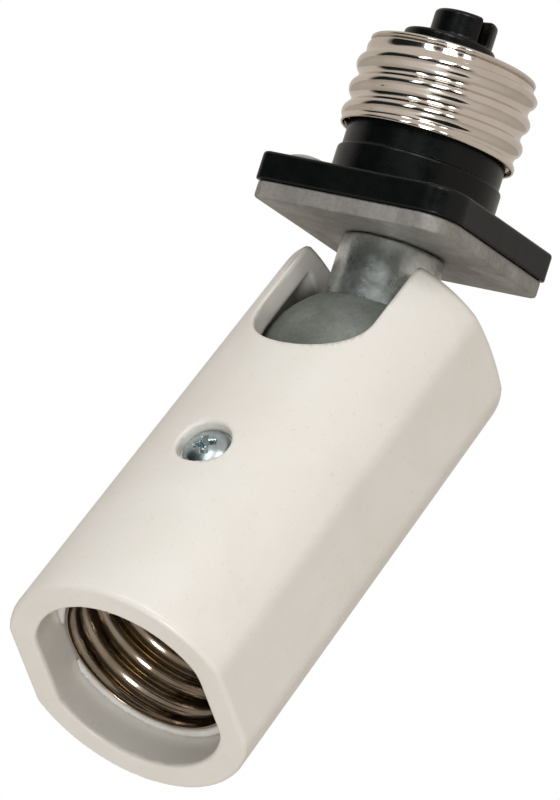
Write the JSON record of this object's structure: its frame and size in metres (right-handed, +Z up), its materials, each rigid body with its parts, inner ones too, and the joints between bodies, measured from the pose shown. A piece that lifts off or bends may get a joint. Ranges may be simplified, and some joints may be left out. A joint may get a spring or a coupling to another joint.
{
  "type": "heat lamp fixture",
  "caption": "Swivel and tilt lampholder adapter: a male screw base with a square flange carries a ball-jointed cream casing with a female screw socket for a heat lamp.",
  "frame": {"origin": "on the screw base's axis, at the lower edge of its screw shell", "axes": "+Z up along the screw base and stem, X along the tilt axis, the lamp casing tips toward -Y"},
  "size_m": [0.0358, 0.0693, 0.1195],
  "materials": {
    "nickel_plated_brass": "nickel plated, rolled, bright",
    "black_phenolic": "moulded black phenolic, satin",
    "contact_brass": "bare brass",
    "die_cast_zinc": "bare die-cast zinc alloy, dull",
    "stem_zinc": "bare die-cast zinc alloy, turned and slightly bright",
    "zinc_plated_steel": "zinc plated steel",
    "lead_insulation": "silicone insulation",
    "cream_ceramic": "cream satin glaze",
    "white_ceramic": "unglazed white steatite",
    "friction_fibre": "heat-resistant fibre"
  },
  "bodies": {
    "base": {"screw_base_shell": "nickel_plated_brass", "base_insulator": "black_phenolic", "base_contact_tongue": "contact_brass", "base_contact_rivet": "contact_brass", "base_plate": "die_cast_zinc", "plate_screws": "zinc_plated_steel", "base_leads": "lead_insulation"},
    "stem": {"swivel_stem": "stem_zinc", "pivot_ball": "die_cast_zinc", "stop_washer": "zinc_plated_steel", "wave_washer": "zinc_plated_steel", "retaining_ring": "zinc_plated_steel", "stem_leads": "lead_insulation"},
    "holder": {"casing": "cream_ceramic", "ball_cup": "friction_fibre", "friction_spring": "zinc_plated_steel", "spring_plate": "zinc_plated_steel", "socket_core": "white_ceramic", "casing_screw": "zinc_plated_steel", "core_nut": "zinc_plated_steel", "lamp_screw_shell": "nickel_plated_brass", "lamp_centre_contact": "contact_brass", "centre_contact_rivet": "contact_brass", "shell_rivets": "contact_brass", "lead_terminals": "contact_brass", "holder_leads": "lead_insulation"}
  },
  "joints": [
    {"name": "base_swivel", "type": "hinge", "parent": "base", "child": "stem", "pos_m": [0, 0, -0.0138], "axis": [0, 0, 1], "range_deg": [-165, 165]},
    {"name": "ball_tilt", "type": "hinge", "parent": "stem", "child": "holder", "pos_m": [0, 0, -0.0367], "axis": [-1, 0, 0], "range_deg": [-30, 60], "deforming": ["holder_leads"]}
  ]
}
